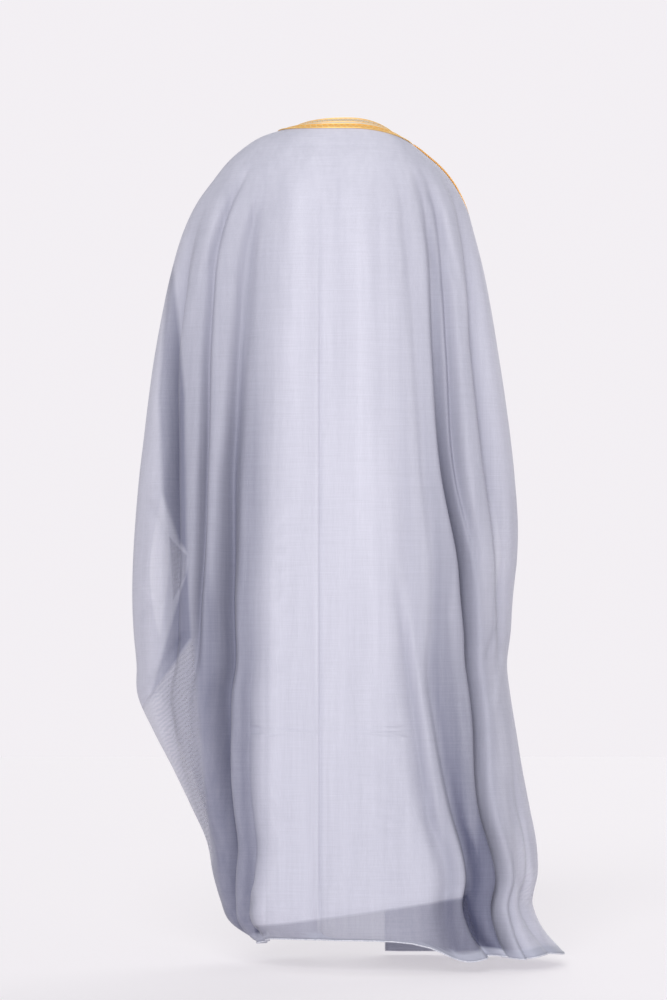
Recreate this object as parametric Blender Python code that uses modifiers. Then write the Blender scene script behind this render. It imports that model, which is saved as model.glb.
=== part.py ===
"""A bisht: a sheer, collarless cloak, open down the front, in its worn shape.

The cloak hangs hollow from its shoulders, as worn, and its front faces -Y. The origin is the middle of
the neck at the height of the shoulders. X is positive on its left side, as worn.

The cloth is one surface, worked out ring by ring from the neckline to the hem, and cut at the two
side seams into a back and two fronts. A ring is a flattened oval that is open in front, and its
folds are soft grooves pressed into it.
"""

import math
from collections import namedtuple

import bpy
import numpy as np

# Driving dimensions, in metres
CLOTH_WALL = 0.0015
SEAM_GAP = 0.0003
BAND_WIDTH = 0.026
BAND_WALL = 0.0012
BAND_LENGTH = 0.56
CORD_RADIUS = 0.002
CORD_LIFT = 0.0005
CORD_START = 0.05
HAND_OPENING_TOP = -0.674
HAND_OPENING_HEIGHT = 0.282
HAND_OPENING_WIDTH = 0.05
OVAL_POWER = 2.3

# Mesh sizes. The columns stand FLAT_STEP apart where the cloth is flat, and FOLD_STEP in a fold, in
# proportion, so that each gap between two folds has the same number of them at every ring.
RING_SAMPLES = 900
BACK_GAP_COLUMNS = 6
FRONT_GAP_COLUMNS = 5
BAND_COLUMNS = 2
CORD_RESOLUTION = 2
FLAT_STEP = 0.030
FOLD_STEP = 0.006
FOLD_REACH = 1.6
NECK_RINGS = 5

# Columns of points along a panel's edge, by their distance from it. A panel's row has the rims at its
# start and end, and the number of columns from each fold to the next.
SEAM_RIM = np.array([0.0, 0.002])
BAND_RIM = np.linspace(0.0, BAND_WIDTH, BAND_COLUMNS + 1)
PANEL_COLUMNS = {
    "front_left": (BAND_RIM, SEAM_RIM, FRONT_GAP_COLUMNS),
    "back": (SEAM_RIM, SEAM_RIM, BACK_GAP_COLUMNS),
    "front_right": (SEAM_RIM, BAND_RIM, FRONT_GAP_COLUMNS),
}

# One row for each ring, from the neckline to the hem, in metres. The z columns are its height at the
# back, the left as worn, the right and the front. left, right, back and front are its reach from the
# middle. edge_left and edge_right are where the front edges stand. seam_left and seam_right are the
# degrees by which the side seams lie ahead of the sides.
Ring = namedtuple(
    "Ring",
    "z_back z_left z_right z_front left right back front edge_left edge_right seam_left seam_right",
)
RINGS = (
    Ring(0.030, 0.012, -0.006, -0.045, 0.100, -0.108, 0.058, -0.055, 0.066, -0.078, 4, -5),
    Ring(0.007, 0.003, -0.014, -0.066, 0.130, -0.132, 0.074, -0.073, 0.072, -0.080, 4, -5),
    Ring(-0.026, -0.013, -0.035, -0.098, 0.173, -0.159, 0.094, -0.094, 0.076, -0.082, 5, -5),
    Ring(-0.066, -0.046, -0.063, -0.135, 0.221, -0.189, 0.114, -0.114, 0.079, -0.083, 7, -5),
    Ring(-0.113, -0.085, -0.097, -0.178, 0.257, -0.215, 0.130, -0.130, 0.081, -0.084, 10, -3),
    Ring(-0.165, -0.130, -0.138, -0.225, 0.288, -0.236, 0.142, -0.143, 0.083, -0.085, 12, 1),
    Ring(-0.218, -0.186, -0.188, -0.272, 0.313, -0.250, 0.150, -0.152, 0.085, -0.086, 15, 6),
    Ring(-0.275, -0.255, -0.252, -0.320, 0.333, -0.266, 0.155, -0.160, 0.086, -0.087, 18, 12),
    Ring(-0.340, -0.330, -0.330, -0.370, 0.349, -0.281, 0.159, -0.167, 0.087, -0.088, 21, 17),
    Ring(-0.420, -0.420, -0.420, -0.430, 0.365, -0.295, 0.162, -0.173, 0.088, -0.089, 24, 21),
    Ring(-0.500, -0.500, -0.500, -0.500, 0.376, -0.307, 0.165, -0.178, 0.089, -0.090, 26, 24),
    Ring(-0.580, -0.580, -0.580, -0.580, 0.385, -0.317, 0.168, -0.182, 0.090, -0.090, 28, 27),
    Ring(-0.660, -0.660, -0.660, -0.660, 0.394, -0.325, 0.171, -0.185, 0.090, -0.090, 29, 29),
    Ring(-0.740, -0.740, -0.740, -0.740, 0.400, -0.330, 0.174, -0.188, 0.089, -0.090, 30, 30),
    Ring(-0.810, -0.810, -0.810, -0.810, 0.404, -0.328, 0.177, -0.190, 0.088, -0.089, 30, 30),
    Ring(-0.880, -0.880, -0.880, -0.880, 0.405, -0.320, 0.180, -0.192, 0.086, -0.088, 30, 30),
    Ring(-0.950, -0.950, -0.950, -0.950, 0.402, -0.315, 0.182, -0.193, 0.084, -0.087, 30, 30),
    Ring(-1.010, -1.010, -1.010, -1.010, 0.396, -0.308, 0.184, -0.194, 0.082, -0.086, 30, 30),
    Ring(-1.070, -1.070, -1.070, -1.070, 0.385, -0.314, 0.187, -0.195, 0.080, -0.085, 29, 30),
    Ring(-1.140, -1.140, -1.140, -1.140, 0.357, -0.325, 0.190, -0.196, 0.078, -0.084, 27, 30),
    Ring(-1.210, -1.210, -1.210, -1.210, 0.323, -0.336, 0.193, -0.198, 0.075, -0.083, 24, 30),
    Ring(-1.280, -1.280, -1.280, -1.280, 0.288, -0.349, 0.196, -0.200, 0.072, -0.082, 20, 30),
    Ring(-1.345, -1.345, -1.345, -1.345, 0.261, -0.361, 0.199, -0.202, 0.068, -0.081, 16, 30),
    Ring(-1.395, -1.400, -1.405, -1.405, 0.250, -0.363, 0.202, -0.204, 0.064, -0.080, 13, 30),
    Ring(-1.440, -1.445, -1.465, -1.462, 0.232, -0.350, 0.205, -0.206, 0.060, -0.080, 12, 30),
    Ring(-1.478, -1.482, -1.525, -1.517, 0.202, -0.374, 0.208, -0.208, 0.056, -0.080, 12, 30),
    Ring(-1.513, -1.515, -1.572, -1.566, 0.176, -0.412, 0.211, -0.210, 0.052, -0.080, 12, 30),
)

# One row for each fold, a groove that runs down the cloth. At each ring of FOLD_RINGS, angles gives its
# place in degrees, from the left side as worn (0) round the back (90) to the right side (180), with
# the front before 0 and after 180, and depths its depth in millimetres. wide_before and wide_after are
# its reach on its two sides in metres, in the order of the angles.
FOLD_RINGS = (3, 6, 9, 12, 15, 18, 21, 24, 26)
Fold = namedtuple("Fold", "angles depths wide_before wide_after")
FRONT_LEFT_FOLDS = (
    Fold((-60, -62, -64, -66, -66, -65, -60, -54, -42), (0, 4, 14, 20, 26, 30, 34, 36, 30), 0.011, 0.012),
    Fold((-48, -50, -54, -56, -57, -56, -50, -44, -33), (0, 6, 22, 30, 34, 36, 40, 40, 34), 0.013, 0.011),
    Fold((-36, -38, -43, -46, -47, -46, -41, -35, -24), (0, 8, 18, 26, 30, 30, 28, 24, 16), 0.012, 0.012),
)
BACK_FOLDS = (
    Fold((24, 27, 31, 39, 37, 30, 14, 4, -4), (0, 4, 20, 28, 16, 0, 0, 0, 0), 0.016, 0.010),
    Fold((45, 45, 50, 52, 53, 48, 24, 12, 3), (0, 12, 22, 32, 22, 4, 0, 0, 0), 0.009, 0.008),
    Fold((60, 60, 61, 62, 64, 60, 38, 23, 11), (0, 16, 28, 44, 58, 60, 58, 46, 24), 0.024, 0.011),
    Fold((70, 70, 71, 72, 72, 69, 51, 36, 22), (0, 0, 2, 6, 10, 14, 20, 24, 20), 0.014, 0.006),
    Fold((88, 88, 89, 89, 90, 89, 79, 71, 59), (0, 3, 4, 4, 4, 4, 5, 6, 6), 0.024, 0.024),
    Fold((106, 108, 109, 109, 112, 113, 109, 112, 104), (0, 0, 0, 6, 8, 10, 12, 14, 10), 0.018, 0.018),
    Fold((118, 118, 117, 117, 121, 123, 121, 126, 114), (0, 8, 10, 6, 0, 4, 12, 22, 18), 0.012, 0.012),
    Fold((131, 130, 125, 126, 135, 139, 134, 135, 123), (0, 14, 24, 44, 56, 56, 58, 66, 66), 0.009, 0.018),
    Fold((138, 137, 131, 132, 141, 147, 142, 143, 133), (0, 8, 16, 14, 0, 0, 0, 0, 0), 0.008, 0.010),
    Fold((156, 155, 147, 147, 154, 160, 155, 152, 146), (0, 10, 20, 18, 6, 0, 4, 8, 8), 0.010, 0.016),
)
FRONT_RIGHT_FOLDS = (
    Fold((214, 215, 217, 219, 220, 221, 222, 224, 226), (0, 6, 16, 24, 28, 28, 32, 36, 36), 0.012, 0.012),
    Fold((224, 225, 227, 229, 230, 231, 232, 236, 240), (0, 8, 20, 28, 34, 36, 40, 44, 44), 0.011, 0.013),
    Fold((233, 234, 236, 238, 239, 240, 243, 248, 254), (0, 4, 12, 20, 24, 28, 34, 38, 38), 0.012, 0.011),
)
PANEL_FOLDS = {"front_left": FRONT_LEFT_FOLDS, "back": BACK_FOLDS, "front_right": FRONT_RIGHT_FOLDS}


def smooth_step(value):
    part = min(max(value, 0.0), 1.0)
    return part * part * (3.0 - 2.0 * part)


def curve_through(places, rows, place):
    """The value at a place on a smooth curve through the rows that stand at the given places."""
    slopes = np.gradient(rows, places, axis=0)
    row = int(np.clip(np.searchsorted(places, place, side="right") - 1, 0, len(places) - 2))
    span = places[row + 1] - places[row]
    part = float(np.clip((place - places[row]) / span, 0.0, 1.0))
    squared, cubed = part**2, part**3
    return (
        (2 * cubed - 3 * squared + 1) * rows[row]
        + (cubed - 2 * squared + part) * span * slopes[row]
        + (3 * squared - 2 * cubed) * rows[row + 1]
        + (cubed - squared) * span * slopes[row + 1]
    )


def ring_at(level):
    """The ring at a level, which is a row of the table or lies between two rows."""
    return Ring(*curve_through(np.arange(len(RINGS)), np.array(RINGS, float), level))


def fold_at(fold, level):
    """(angle, depth): where the fold crosses the ring, and how deep it is there."""
    angle = curve_through(FOLD_RINGS, np.array(fold.angles, float), level)
    depth = curve_through(FOLD_RINGS, np.array(fold.depths, float), level)
    return math.radians(angle), max(0.0, depth) / 1000


def rounded(value):
    """A sine or cosine, as the flattened oval has it."""
    return np.sign(value) * np.abs(value) ** (2.0 / OVAL_POWER)


def edge_angle(x, middle, half_width):
    """The angle from the side, on the front, at which the oval passes x."""
    share = (x - middle) / half_width
    return math.acos(math.copysign(abs(share) ** (OVAL_POWER / 2.0), share))


def running_length(points):
    steps = np.linalg.norm(np.diff(points, axis=0), axis=1)
    return np.concatenate([[0.0], np.cumsum(steps)])


class FoldedRing:
    """One ring, from the left front edge, as worn, round the back to the right front edge.

    A place on it is a length along the plain oval, before the folds are pressed in."""

    def __init__(self, level):
        ring = ring_at(level)
        middle = (ring.left + ring.right) / 2.0
        half_width = (ring.left - ring.right) / 2.0
        start = -edge_angle(ring.edge_left, middle, half_width)
        end = 2 * math.pi - edge_angle(ring.edge_right, middle, half_width)
        self.angle = np.linspace(start, end, RING_SAMPLES)
        cosine, sine = np.cos(self.angle), np.sin(self.angle)
        x = middle + half_width * rounded(cosine)
        y = np.where(sine > 0, ring.back, -ring.front) * rounded(sine)
        z_side = np.where(cosine > 0, ring.z_left, ring.z_right)
        z_middle = np.where(sine > 0, ring.z_back, ring.z_front)
        z = z_side + (z_middle - z_side) * sine**2
        self.places = running_length(np.column_stack([x, y]))
        self.seams = [
            self.place_of(-math.radians(ring.seam_left)),
            self.place_of(math.pi + math.radians(ring.seam_right)),
        ]
        self.spread = smooth_step(level / NECK_RINGS)
        self.fold_places = {panel: [] for panel in PANEL_FOLDS}
        depth = np.zeros(RING_SAMPLES)
        density = np.full(RING_SAMPLES, 1.0 / FLAT_STEP)
        for panel, folds in PANEL_FOLDS.items():
            for fold in folds:
                fold_angle, fold_depth = fold_at(fold, level)
                place = self.place_of(fold_angle)
                offset = self.places - place
                width = np.where(offset < 0, fold.wide_before, fold.wide_after)
                depth += fold_depth * np.exp(-((offset / width) ** 2))
                density += self.spread * np.exp(-((offset / width / FOLD_REACH) ** 2)) / FOLD_STEP
                self.fold_places[panel].append(place)
        along_x, along_y = np.gradient(x), np.gradient(y)
        size = np.hypot(along_x, along_y)
        self.points = np.column_stack([x - along_y / size * depth, y + along_x / size * depth, z])
        columns = (density[1:] + density[:-1]) / 2.0 * np.diff(self.places)
        self.crowding = np.concatenate([[0.0], np.cumsum(columns)])

    def place_of(self, angle):
        return float(np.interp(angle, self.angle, self.places))

    def height_at(self, place):
        return float(np.interp(place, self.places, self.points[:, 2]))

    def points_at(self, wanted):
        return np.column_stack([np.interp(wanted, self.places, self.points[:, axis]) for axis in range(3)])

    def panel_row(self, panel, start, end):
        """The points of a panel from start to end: its rims, and gap_columns from each fold to the next.

        Towards the neckline, the columns leave the folds and spread evenly."""
        start_rim, end_rim, gap_columns = PANEL_COLUMNS[panel]
        stops = np.array([start + start_rim[-1], *self.fold_places[panel], end - end_rim[-1]])
        even = np.linspace(stops[0], stops[-1], len(stops))
        stops = even + (stops - even) * self.spread
        marks = np.interp(stops, self.places, self.crowding)
        steps = np.arange((len(stops) - 1) * gap_columns + 1) / gap_columns
        middle = np.interp(np.interp(steps, np.arange(len(stops)), marks), self.crowding, self.places)
        wanted = np.concatenate([start + start_rim[:-1], middle, end - end_rim[-2::-1]])
        return self.points_at(wanted)


def hand_gap(z):
    """Half the width of the hand opening at height z, or half the seam's gap away from it."""
    part = (HAND_OPENING_TOP - z) / HAND_OPENING_HEIGHT
    if not 0.0 < part < 1.0:
        return SEAM_GAP / 2
    return max(SEAM_GAP, HAND_OPENING_WIDTH * math.sin(math.pi * part)) / 2


def level_list():
    """The mesh's levels: each row of the table, and one more in the middle of the neck band."""
    return [0.0, 0.5] + [float(row) for row in range(1, len(RINGS))]


def panel_grids():
    """The rows of points of front_left, back and front_right, from the neckline to the hem."""
    grids = {"front_left": [], "back": [], "front_right": []}
    for level in level_list():
        ring = FoldedRing(level)
        left, right = ring.seams
        left_gap = hand_gap(ring.height_at(left))
        right_gap = hand_gap(ring.height_at(right))
        grids["front_left"].append(ring.panel_row("front_left", 0.0, left - left_gap))
        grids["back"].append(ring.panel_row("back", left + left_gap, right - right_gap))
        grids["front_right"].append(ring.panel_row("front_right", right + right_gap, ring.places[-1]))
    return {name: np.array(rows) for name, rows in grids.items()}


def cloth_material(name, colour, roughness, metallic=0.0):
    material = bpy.data.materials.new(name)
    material.use_nodes = True
    shader = material.node_tree.nodes["Principled BSDF"]
    shader.inputs["Base Color"].default_value = (*colour, 1.0)
    shader.inputs["Roughness"].default_value = roughness
    shader.inputs["Metallic"].default_value = metallic
    material.diffuse_color = (*colour, 1.0)
    return material


def sheet_object(name, vertices, faces, wall, outward, material, collection):
    """A closed wall on an open sheet. outward is 1 to build it outside the sheet, and -1 inside."""
    mesh = bpy.data.meshes.new(name)
    mesh.from_pydata([tuple(point) for point in vertices], [], faces)
    mesh.validate()
    mesh.materials.append(material)
    mesh.shade_smooth()
    sheet = bpy.data.objects.new(name, mesh)
    collection.objects.link(sheet)
    solidify = sheet.modifiers.new("wall", "SOLIDIFY")
    solidify.thickness = wall
    solidify.offset = outward
    solidify.use_even_offset = True
    solidify.use_quality_normals = True
    return sheet


def grid_faces(rows, columns):
    """Quads of a grid of points, facing out of the cloak."""
    wide = columns + 1
    return [
        (corner, corner + wide, corner + wide + 1, corner + 1)
        for row in range(rows)
        for corner in range(row * wide, row * wide + columns)
    ]


def add_panel(name, grid, material, collection):
    rows, wide, _ = grid.shape
    faces = grid_faces(rows - 1, wide - 1)
    sheet_object(name, grid.reshape(-1, 3), faces, CLOTH_WALL, -1, material, collection)


def add_band(grids, material, collection):
    """The gold band: round the neckline, and down both front edges to the waist.

    It is made from the panels' own points, moved out from the cloth."""
    neck_rows = level_list().index(1.0) + 1
    left, back, right = grids["front_left"], grids["back"], grids["front_right"]
    neck = np.concatenate([left[:, :-1], back[:, :-1], right], axis=1)
    edge_lengths = running_length(left[:, 0])
    rows = int(np.searchsorted(edge_lengths, BAND_LENGTH)) + 1
    wide = neck.shape[1]
    vertices = list(neck[:neck_rows].reshape(-1, 3))
    faces = grid_faces(neck_rows - 1, wide - 1)
    for first in (0, wide - 1 - BAND_COLUMNS):
        above = [(neck_rows - 1) * wide + first + column for column in range(BAND_COLUMNS + 1)]
        for row in range(neck_rows, rows):
            below = []
            for column in range(BAND_COLUMNS + 1):
                below.append(len(vertices))
                vertices.append(neck[row, first + column])
            for column in range(BAND_COLUMNS):
                faces.append((above[column], below[column], below[column + 1], above[column + 1]))
            above = below
    band = sheet_object("neck_and_front_band", vertices, faces, BAND_WALL, 1, material, collection)
    places = [vertex.co + vertex.normal * SEAM_GAP for vertex in band.data.vertices]
    for vertex, place in zip(band.data.vertices, places):
        vertex.co = place


def surface_normals(grid):
    """Outward normals at each point of a grid."""
    normals = np.cross(np.gradient(grid, axis=0), np.gradient(grid, axis=1))
    return normals / np.linalg.norm(normals, axis=2, keepdims=True)


def add_shoulder_cord(name, grid, column, material, collection):
    """The gold cord on a shoulder seam, from the neck band's lower edge down to the hand opening."""
    lift = CORD_RADIUS + CORD_LIFT
    seam = grid[:, column] + surface_normals(grid)[:, column] * lift
    band_row = level_list().index(1.0)
    last_row = int(np.argmax(seam[:, 2] < HAND_OPENING_TOP))
    first = seam[band_row] + (seam[band_row + 1] - seam[band_row]) * CORD_START
    path = [first, *seam[band_row + 1 : last_row]]
    curve = bpy.data.curves.new(name, "CURVE")
    curve.dimensions = "3D"
    curve.bevel_depth = CORD_RADIUS
    curve.bevel_resolution = CORD_RESOLUTION
    curve.use_fill_caps = True
    spline = curve.splines.new("POLY")
    spline.points.add(len(path) - 1)
    for point, place in zip(spline.points, path):
        point.co = (*place, 1.0)
    curve.materials.append(material)
    cord = bpy.data.objects.new(name, curve)
    collection.objects.link(cord)


def main():
    for old in list(bpy.data.objects):
        bpy.data.objects.remove(old)
    collection = bpy.data.collections.new("bisht")
    bpy.context.scene.collection.children.link(collection)
    voile = cloth_material("grey_voile", (0.50, 0.50, 0.60), 0.7)
    gold = cloth_material("gold_thread", (0.80, 0.46, 0.10), 0.35, 0.6)
    grids = panel_grids()
    for name, grid in grids.items():
        add_panel(name, grid, voile, collection)
    add_band(grids, gold, collection)
    add_shoulder_cord("shoulder_cord_left", grids["back"], 0, gold, collection)
    add_shoulder_cord("shoulder_cord_right", grids["back"], -1, gold, collection)


main()
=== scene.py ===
import math
from collections import namedtuple

import bpy
import numpy as np
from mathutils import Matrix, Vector


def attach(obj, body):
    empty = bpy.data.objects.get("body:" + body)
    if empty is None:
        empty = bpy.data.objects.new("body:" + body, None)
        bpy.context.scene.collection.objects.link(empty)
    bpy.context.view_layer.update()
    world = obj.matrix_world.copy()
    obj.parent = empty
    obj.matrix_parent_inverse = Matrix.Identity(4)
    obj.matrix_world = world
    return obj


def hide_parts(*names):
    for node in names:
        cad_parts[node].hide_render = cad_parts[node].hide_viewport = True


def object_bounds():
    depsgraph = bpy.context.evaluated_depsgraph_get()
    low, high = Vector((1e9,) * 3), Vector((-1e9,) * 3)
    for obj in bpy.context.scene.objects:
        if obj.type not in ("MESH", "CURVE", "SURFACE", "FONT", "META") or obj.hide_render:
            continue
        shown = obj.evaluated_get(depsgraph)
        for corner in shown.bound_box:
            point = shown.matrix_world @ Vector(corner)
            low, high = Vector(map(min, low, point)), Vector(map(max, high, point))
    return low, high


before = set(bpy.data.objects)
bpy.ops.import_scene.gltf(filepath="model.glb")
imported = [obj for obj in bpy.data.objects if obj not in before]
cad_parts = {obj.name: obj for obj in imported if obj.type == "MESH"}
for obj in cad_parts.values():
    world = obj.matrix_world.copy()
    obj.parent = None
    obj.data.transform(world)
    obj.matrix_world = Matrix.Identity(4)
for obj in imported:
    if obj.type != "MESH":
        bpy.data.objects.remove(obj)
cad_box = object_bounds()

# The back panel
# The back is one wide loom width of pale grey-blue voile, a light, sheer plain weave with odd thick
# threads. It is pressed, hung from the shoulder seams, and sewn to the fronts down both sides. One
# folded surface is worked out here, ring by ring from the neckline to the hem, for all three panels.
VOILE_WALL = 0.0006
VOILE_INSET = 0.0005
SEAM_GAP = 0.0004
HEM_TURNING = 0.016
HEM_TURNING_EDGE = 0.004
HAND_OPENING_TOP = -0.674
HAND_OPENING_HEIGHT = 0.282
HAND_OPENING_WIDTH = 0.05
OVAL_POWER = 2.3

# Mesh sizes. The columns stand FLAT_STEP apart where the cloth is flat, FOLD_STEP within FOLD_REACH times
# a fold's reach, and CREASE_STEP within NARROW_CREASE_REACH times that of a crease below NARROW_CREASE.
# That is in proportion, because each gap between two folds has the same number of them at every ring.
# From ring NECK_RINGS up, they spread evenly. The rows stand closer down to level NECK_ROWS_END.
RING_SAMPLES = 1400
FLAT_STEP = 0.030
FOLD_STEP = 0.006
FOLD_REACH = 1.6
CREASE_STEP = 0.0012
NARROW_CREASE = 0.004
NARROW_CREASE_REACH = 2.0
BACK_GAP_COLUMNS = 20
NECK_RINGS = 5
NECK_ROWS_END = 8
NECK_ROWS = 48
BODY_ROWS = 120

# Rows that follow the creases across the back: their first and last level, and their step. No other row
# comes within ROW_CLEARANCE of them.
CREASE_ROWS = ((1.97, 2.30, 0.06), (18.76, 19.02, 0.035))
ROW_CLEARANCE = 0.03

# One row for each ring, from the neckline to the hem. The z columns are its height at the back, the
# left as worn, the right and the front. left, right, back and front are its reach from the middle.
# edge_left and edge_right are where the front edges stand. seam_left and seam_right are the degrees by
# which the side seams lie ahead of the sides. A level is a place down the rings, from 0 at the neckline.
Ring = namedtuple(
    "Ring",
    "z_back z_left z_right z_front left right back front edge_left edge_right seam_left seam_right",
)
RINGS = (
    Ring(0.030, 0.019, -0.006, -0.045, 0.100, -0.108, 0.058, -0.055, 0.066, -0.078, 4, -5),
    Ring(0.007, 0.014, -0.014, -0.066, 0.130, -0.132, 0.074, -0.073, 0.072, -0.080, 4, -5),
    Ring(-0.026, -0.002, -0.035, -0.098, 0.173, -0.159, 0.094, -0.094, 0.076, -0.082, 5, -5),
    Ring(-0.066, -0.040, -0.063, -0.135, 0.221, -0.189, 0.114, -0.114, 0.079, -0.083, 7, -5),
    Ring(-0.113, -0.085, -0.097, -0.178, 0.257, -0.215, 0.130, -0.130, 0.081, -0.084, 10, 0),
    Ring(-0.165, -0.130, -0.138, -0.225, 0.288, -0.236, 0.142, -0.143, 0.083, -0.085, 12, 5),
    Ring(-0.218, -0.186, -0.188, -0.272, 0.313, -0.250, 0.150, -0.152, 0.085, -0.086, 15, 9),
    Ring(-0.275, -0.255, -0.252, -0.320, 0.333, -0.266, 0.155, -0.160, 0.086, -0.087, 18, 12),
    Ring(-0.340, -0.330, -0.330, -0.370, 0.349, -0.281, 0.159, -0.167, 0.087, -0.088, 21, 17),
    Ring(-0.420, -0.420, -0.420, -0.430, 0.365, -0.295, 0.162, -0.173, 0.088, -0.089, 24, 21),
    Ring(-0.500, -0.500, -0.500, -0.500, 0.376, -0.307, 0.165, -0.178, 0.089, -0.090, 26, 24),
    Ring(-0.580, -0.580, -0.580, -0.580, 0.385, -0.317, 0.168, -0.182, 0.090, -0.090, 28, 27),
    Ring(-0.660, -0.660, -0.660, -0.660, 0.394, -0.325, 0.171, -0.185, 0.090, -0.090, 29, 29),
    Ring(-0.740, -0.740, -0.740, -0.740, 0.400, -0.330, 0.174, -0.188, 0.089, -0.090, 30, 30),
    Ring(-0.810, -0.810, -0.810, -0.810, 0.404, -0.328, 0.177, -0.190, 0.088, -0.089, 30, 30),
    Ring(-0.880, -0.880, -0.880, -0.880, 0.405, -0.320, 0.180, -0.192, 0.086, -0.088, 30, 30),
    Ring(-0.950, -0.950, -0.950, -0.950, 0.402, -0.315, 0.182, -0.193, 0.084, -0.087, 30, 30),
    Ring(-1.010, -1.010, -1.010, -1.010, 0.396, -0.308, 0.184, -0.194, 0.082, -0.086, 30, 30),
    Ring(-1.070, -1.070, -1.070, -1.070, 0.393, -0.314, 0.187, -0.195, 0.080, -0.085, 29, 30),
    Ring(-1.140, -1.140, -1.140, -1.140, 0.361, -0.325, 0.190, -0.196, 0.078, -0.084, 27, 30),
    Ring(-1.210, -1.210, -1.210, -1.210, 0.323, -0.336, 0.193, -0.198, 0.075, -0.083, 24, 30),
    Ring(-1.280, -1.280, -1.280, -1.280, 0.288, -0.349, 0.196, -0.200, 0.072, -0.082, 20, 30),
    Ring(-1.345, -1.345, -1.345, -1.345, 0.261, -0.361, 0.199, -0.202, 0.068, -0.081, 16, 30),
    Ring(-1.395, -1.400, -1.405, -1.405, 0.250, -0.363, 0.202, -0.204, 0.064, -0.080, 13, 30),
    Ring(-1.440, -1.445, -1.458, -1.462, 0.236, -0.350, 0.205, -0.206, 0.060, -0.080, 12, 30),
    Ring(-1.478, -1.482, -1.508, -1.517, 0.219, -0.374, 0.208, -0.208, 0.056, -0.080, 12, 30),
    Ring(-1.513, -1.515, -1.551, -1.566, 0.176, -0.412, 0.211, -0.210, 0.052, -0.080, 12, 30),
)
HEM_LEVEL = len(RINGS) - 1

# One row for each place, in degrees, where the cloth hangs lower than its ring at the hem, or higher
# where drop is below 0. drop is in millimetres and reach in degrees. It begins at level SAG_TOP.
Sag = namedtuple("Sag", "angle drop reach")
HEM_SAGS = (Sag(-58, -14, 10), Sag(12, 14, 14), Sag(107, 34, 12), Sag(131, 20, 13))
SAG_TOP = 22.0

# One row for each fold, a groove that runs down the cloth. At each ring of FOLD_RINGS, angles gives its
# place in degrees, from the left side as worn (0) round the back (90) to the right side (180), and
# depths its depth in millimetres. wide_before and wide_after are its reach on its two sides in metres,
# or its reach above and below where that changes between the rings of FOLD_TURN.
FOLD_RINGS = (3, 6, 9, 12, 15, 18, 21, 24, 26)
FOLD_TURN = (11, 16)
Fold = namedtuple("Fold", "angles depths wide_before wide_after")
FRONT_LEFT_FOLDS = (
    Fold((-60, -62, -64, -66, -66, -65, -60, -54, -42), (0, 4, 14, 20, 26, 30, 34, 36, 30), 0.011, 0.012),
    Fold((-48, -50, -54, -56, -57, -56, -50, -44, -33), (0, 6, 22, 30, 34, 36, 40, 40, 34), 0.013, 0.011),
    Fold((-36, -38, -43, -46, -47, -46, -41, -35, -24), (0, 8, 18, 26, 30, 30, 28, 24, 16), 0.012, 0.012),
)
BACK_FOLDS = (
    Fold((24, 27, 30, 38, 42, 36, 14, 4, -4), (0, 4, 26, 38, 28, 12, 0, 0, 0), 0.018, 0.012),
    Fold((45, 45, 50, 53, 53.5, 48, 24, 12, 3), (0, 12, 18, 28, 22, 4, 0, 0, 0), 0.009, 0.008),
    Fold(
        (60, 61, 63, 63, 64.5, 62, 40.5, 24, 11), (0, 12, 20, 37, 46, 44, 42, 38, 24),
        (0.012, 0.025), (0.020, 0.010),
    ),
    Fold((71, 72, 72.5, 73, 72.5, 70.5, 52.5, 37.5, 23.5), (0, 0, 1, 3, 6, 10, 14, 18, 16), 0.014, 0.006),
    Fold((88, 88, 89, 89, 90, 89, 79, 71, 59), (0, 3, 4, 4, 4, 4, 5, 6, 6), 0.024, 0.024),
    Fold((106, 108, 109, 109, 112, 113, 109, 112, 104), (0, 0, 0, 6, 8, 10, 12, 14, 10), 0.018, 0.018),
    Fold((118, 118, 117, 117, 121, 121, 119, 122, 118), (0, 4, 5, 5, 3, 8, 18, 32, 34), 0.009, 0.018),
    Fold(
        (131, 130, 126, 126, 135.5, 141, 133, 137, 128), (0, 10, 28, 50, 58, 56, 54, 52, 50),
        0.009, (0.022, 0.011),
    ),
    Fold((138, 137, 133, 132, 142, 149, 142, 146, 136), (0, 8, 20, 22, 0, 0, 0, 6, 12), 0.008, 0.010),
    Fold(
        (156, 155, 147, 147, 155, 161, 156, 156, 151), (0, 12, 27, 28, 10, 0, 4, 8, 8),
        0.010, (0.024, 0.016),
    ),
)
FRONT_RIGHT_FOLDS = (
    Fold((214, 215, 217, 219, 220, 221, 222, 224, 226), (0, 6, 16, 24, 28, 28, 32, 36, 36), 0.012, 0.012),
    Fold((224, 225, 227, 229, 230, 231, 232, 236, 240), (0, 8, 20, 28, 34, 36, 40, 44, 44), 0.011, 0.013),
    Fold((233, 234, 236, 238, 239, 240, 243, 248, 254), (0, 4, 12, 20, 24, 28, 34, 38, 38), 0.012, 0.011),
)
PANEL_FOLDS = {"front_left": FRONT_LEFT_FOLDS, "back": BACK_FOLDS, "front_right": FRONT_RIGHT_FOLDS}

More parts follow.
